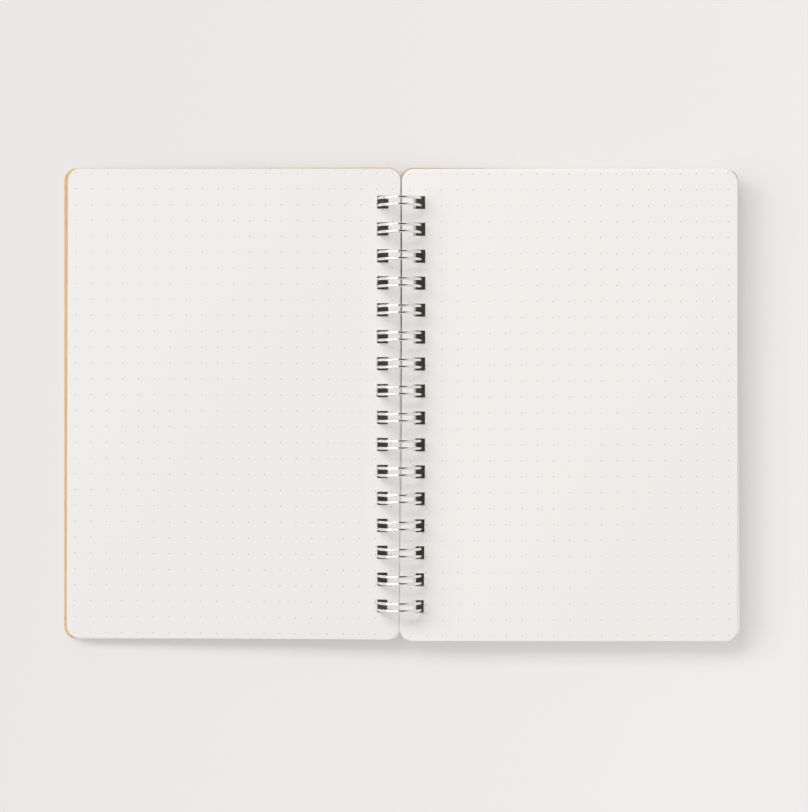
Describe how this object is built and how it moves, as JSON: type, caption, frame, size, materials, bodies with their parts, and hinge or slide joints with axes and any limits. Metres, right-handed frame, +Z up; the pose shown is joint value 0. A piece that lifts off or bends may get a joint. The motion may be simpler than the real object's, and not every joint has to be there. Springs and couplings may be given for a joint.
{
  "type": "spiral notebook",
  "caption": "Open pocket notebook with kraft card covers and dot-grid leaves on a twin-loop wire; either half turns over the wire.",
  "frame": {"origin": "on the table, under the middle of the wire's axis", "axes": "+X towards the right page, +Y towards the head of the pages, +Z up; the wire's axis runs along Y"},
  "size_m": [0.213, 0.149, 0.0141],
  "materials": {
    "binding_wire": "bright nickel-plated steel wire",
    "kraft_card": "uncoated brown kraft card",
    "paper": "uncoated off-white paper with a pale grey dot grid"
  },
  "bodies": {
    "wire": {"wire_binding": "binding_wire"},
    "front_cover": {"front_cover": "kraft_card"},
    "front_leaves": {"front_pages": "paper"},
    "back_cover": {"back_cover": "kraft_card"},
    "back_leaves": {"back_pages": "paper"}
  },
  "joints": [
    {"name": "front_cover_turn", "type": "hinge", "parent": "wire", "child": "front_cover", "pos_m": [0, 0, 0.00709], "axis": [0, 1, 0], "range_deg": [0, 180]},
    {"name": "front_leaves_turn", "type": "hinge", "parent": "front_cover", "child": "front_leaves", "pos_m": [0, 0, 0.00709], "axis": [0, 1, 0], "range_deg": [0, 180]},
    {"name": "back_cover_turn", "type": "hinge", "parent": "wire", "child": "back_cover", "pos_m": [0, 0, 0.00709], "axis": [0, 1, 0], "range_deg": [-180, 0]},
    {"name": "back_leaves_turn", "type": "hinge", "parent": "back_cover", "child": "back_leaves", "pos_m": [0, 0, 0.00709], "axis": [0, 1, 0], "range_deg": [-180, 0]}
  ]
}
